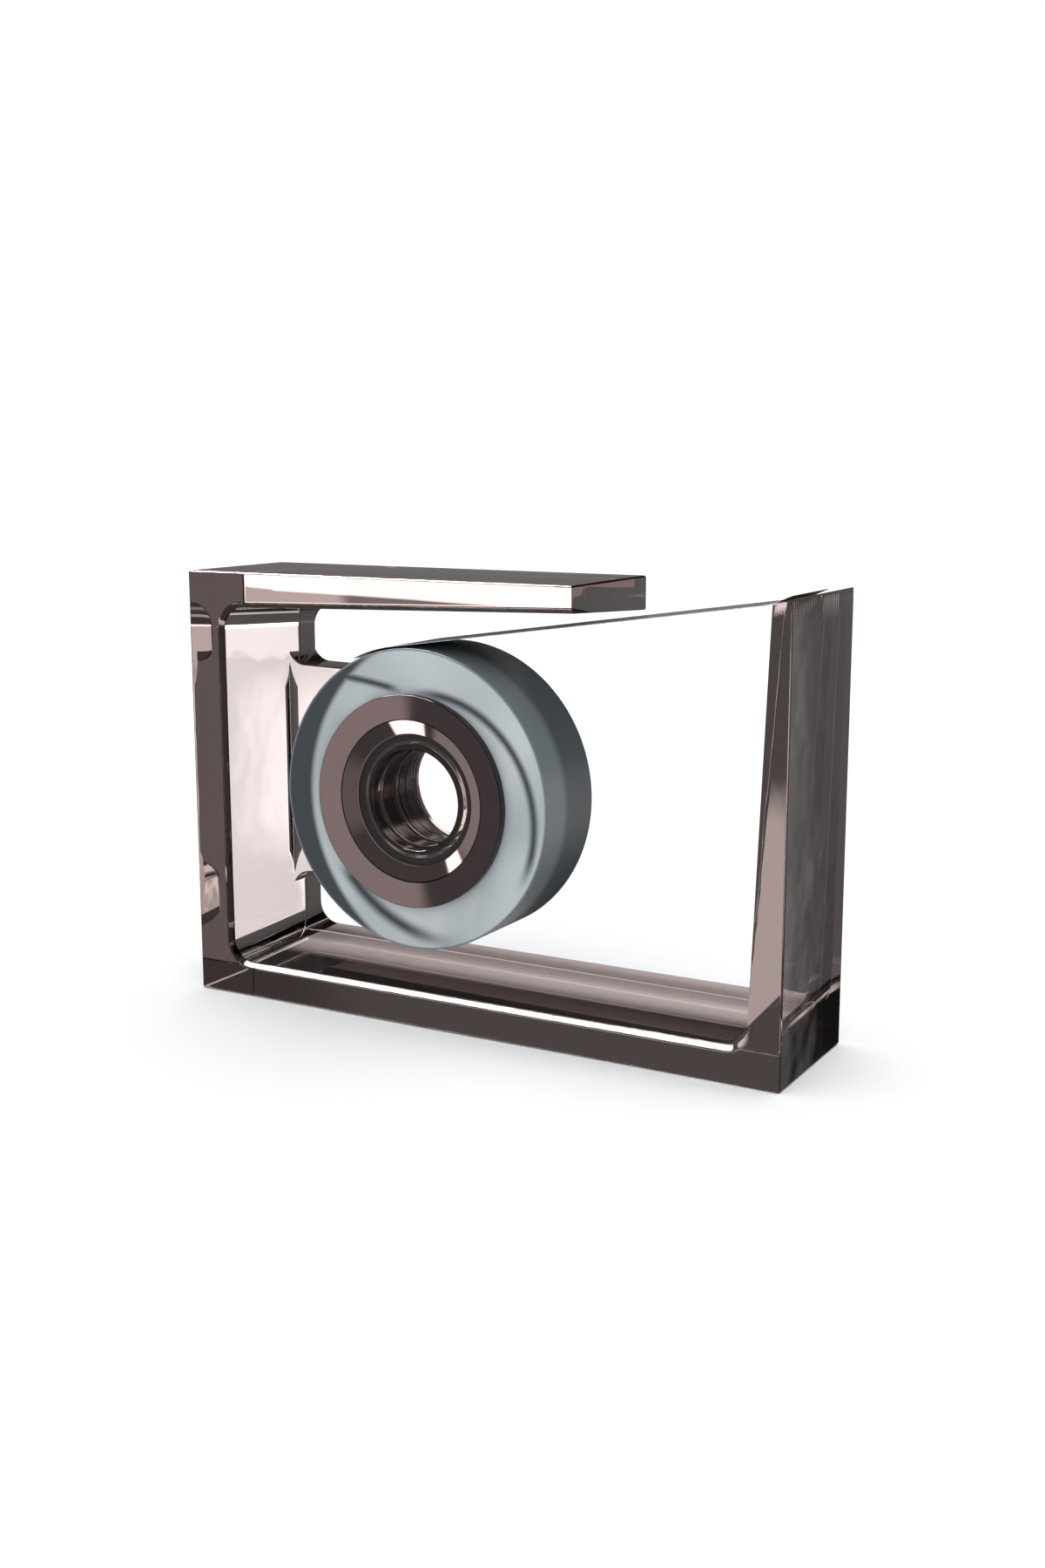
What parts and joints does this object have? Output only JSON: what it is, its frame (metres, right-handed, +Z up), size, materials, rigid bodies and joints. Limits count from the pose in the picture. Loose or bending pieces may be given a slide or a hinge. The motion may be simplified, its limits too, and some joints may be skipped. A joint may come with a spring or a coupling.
{
  "type": "tape dispenser",
  "caption": "Desk tape dispenser: thick see-through C-shaped block with moulded cutting teeth and a tape roll that turns on a hub.",
  "frame": {"origin": "centre of the block's underside, on the surface it stands on", "axes": "+Z up, +X from the hub towards the cutter, -Y the front, where the roll goes on"},
  "size_m": [0.134, 0.0339, 0.0906],
  "materials": {
    "smoky_plastic": "polished see-through",
    "clear_plastic": "polished see-through",
    "clear_rubber": "smooth",
    "washer_plastic": "satin",
    "core_plastic": "satin",
    "wound_tape": "satin",
    "tape_film": "satin"
  },
  "bodies": {
    "block": {"frame_block": "smoky_plastic", "drag_washer": "washer_plastic", "tape_strip": "tape_film"},
    "roll": {"hub_wheel": "clear_plastic", "tape_core": "core_plastic", "tape_roll": "wound_tape"},
    "cap": {"retaining_cap": "smoky_plastic", "cap_grip_ring": "clear_rubber"}
  },
  "joints": [
    {"name": "roll_spin", "type": "hinge", "parent": "block", "child": "roll", "pos_m": [-0.0118, -0.0065, 0.0468], "axis": [0, 1, 0], "continuous": true},
    {"name": "cap_pull", "type": "slide", "parent": "block", "child": "cap", "axis": [0, -1, 0], "range_m": [0, 0.02]}
  ]
}
